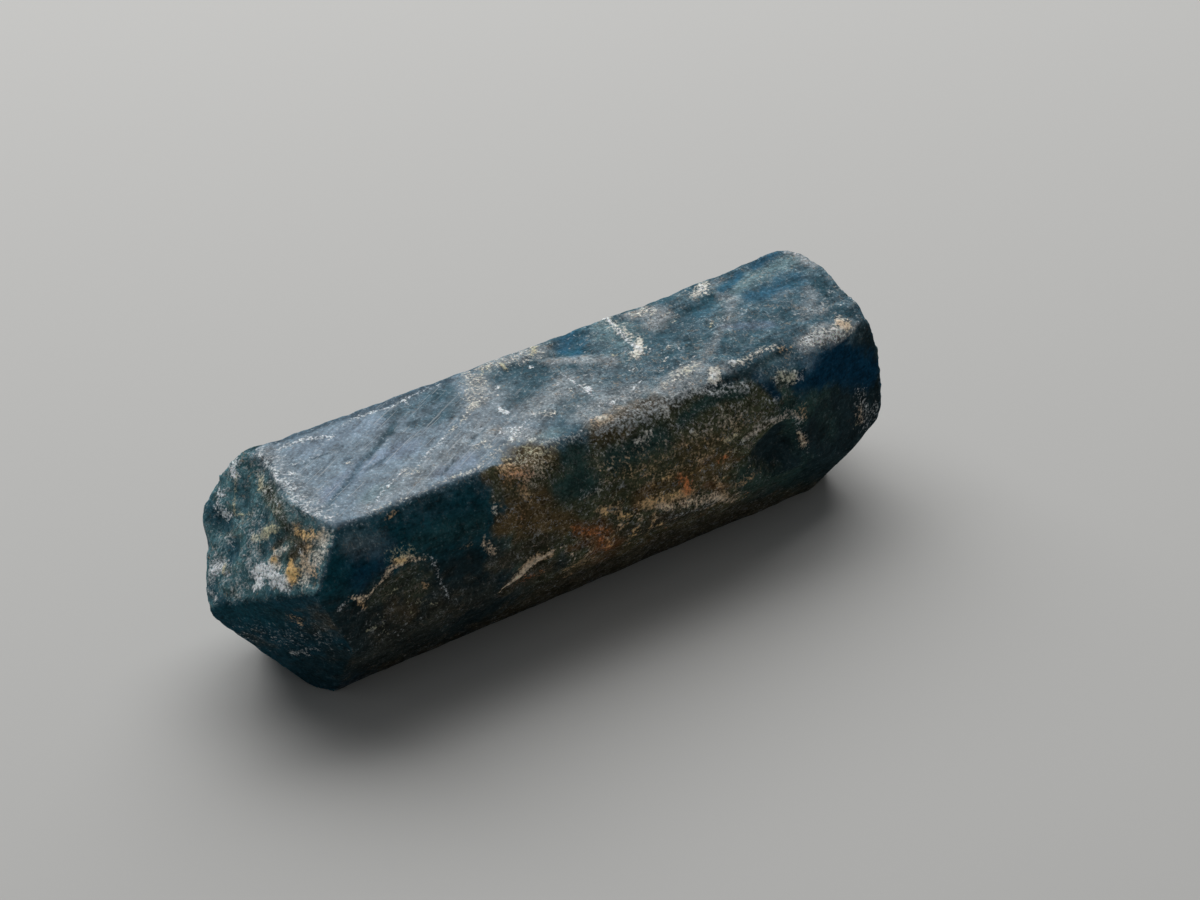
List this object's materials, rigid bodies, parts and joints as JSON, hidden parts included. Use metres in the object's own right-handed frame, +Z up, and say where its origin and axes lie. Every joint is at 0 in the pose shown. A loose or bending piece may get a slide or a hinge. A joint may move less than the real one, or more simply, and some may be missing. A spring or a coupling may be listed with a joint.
{
  "type": "apatite crystal",
  "caption": "Natural blue apatite crystal: a hexagonal prism with a worn pyramid at one end and a broken, rounded end at the other, lying on a prism face.",
  "frame": {"origin": "under the middle of the crystal, on the surface it rests on", "axes": "+X along the crystal from the pyramid end to the broken end, +Z up, the front with the rusty stain faces -Y"},
  "size_m": [0.0292, 0.0078, 0.0085],
  "materials": {
    "apatite": "dark blue-teal translucent crystal, silky and frosted on the top face, glassy in places, with cream crust, white streaks and rusty brown stain"
  },
  "bodies": {
    "root": {"apatite_crystal": "apatite"}
  },
  "joints": []
}
